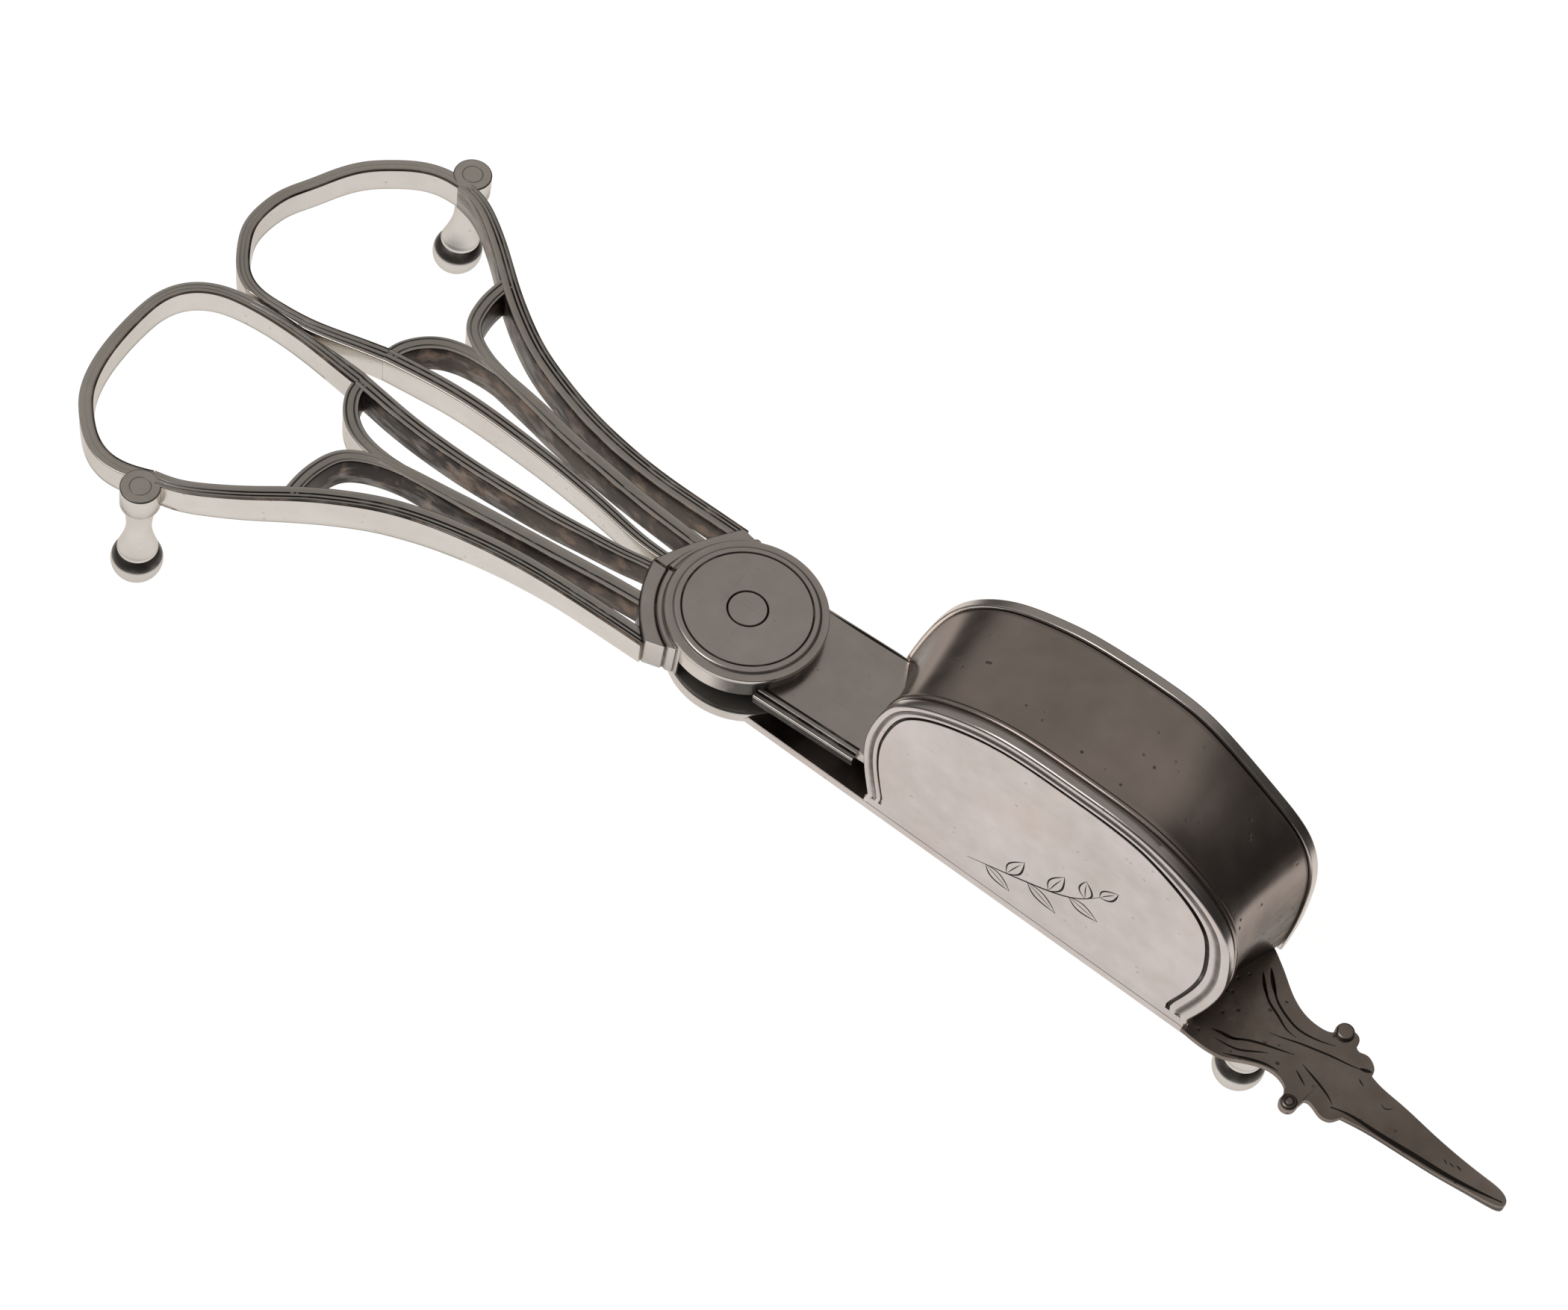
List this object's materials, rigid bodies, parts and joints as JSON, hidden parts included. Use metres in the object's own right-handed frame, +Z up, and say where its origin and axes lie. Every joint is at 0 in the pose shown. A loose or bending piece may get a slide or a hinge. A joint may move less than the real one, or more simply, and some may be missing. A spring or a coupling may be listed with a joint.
{
  "type": "candle snuffer",
  "caption": "Scissor-type silver candle snuffer with looped handles, a domed wick box closed by a pivoting presser plate, a pricket point and turned ball feet.",
  "frame": {"origin": "on the table under the middle of the closed snuffer, halfway between the ends of its handles and of its point", "axes": "+X along the snuffer from the handles to the point, +Z up from the table, +Y from the box's panel to the presser plate"},
  "size_m": [0.1826, 0.065, 0.0439],
  "materials": {
    "polished_silver": "worn polish with fine scratches",
    "dull_silver": "dulled and slightly tarnished"
  },
  "bodies": {
    "box_arm": {"lower_disc": "polished_silver", "pivot_rivet": "polished_silver", "pivot_washer": "dull_silver", "far_collar": "polished_silver", "far_inner_rail": "polished_silver", "far_middle_rail": "polished_silver", "far_outer_rail": "polished_silver", "far_inner_arch": "polished_silver", "far_outer_arch": "polished_silver", "far_finger_loop": "polished_silver", "far_foot_lug": "polished_silver", "far_foot": "polished_silver", "base_plate": "polished_silver", "box_panel": "polished_silver", "box_border": "polished_silver", "box_roof": "dull_silver", "roof_bead": "polished_silver", "point": "dull_silver", "point_foot": "polished_silver"},
    "presser_arm": {"upper_disc": "polished_silver", "near_collar": "polished_silver", "near_inner_rail": "polished_silver", "near_middle_rail": "polished_silver", "near_outer_rail": "polished_silver", "near_inner_arch": "polished_silver", "near_outer_arch": "polished_silver", "near_finger_loop": "polished_silver", "near_foot_lug": "polished_silver", "near_foot": "polished_silver", "neck_plate": "dull_silver", "neck_moulding": "polished_silver", "presser_plate": "polished_silver"}
  },
  "joints": [
    {"name": "pivot", "type": "hinge", "parent": "box_arm", "child": "presser_arm", "pos_m": [-0.01245, 0, 0.0179], "axis": [0, 0, 1], "range_deg": [0, 40]}
  ]
}
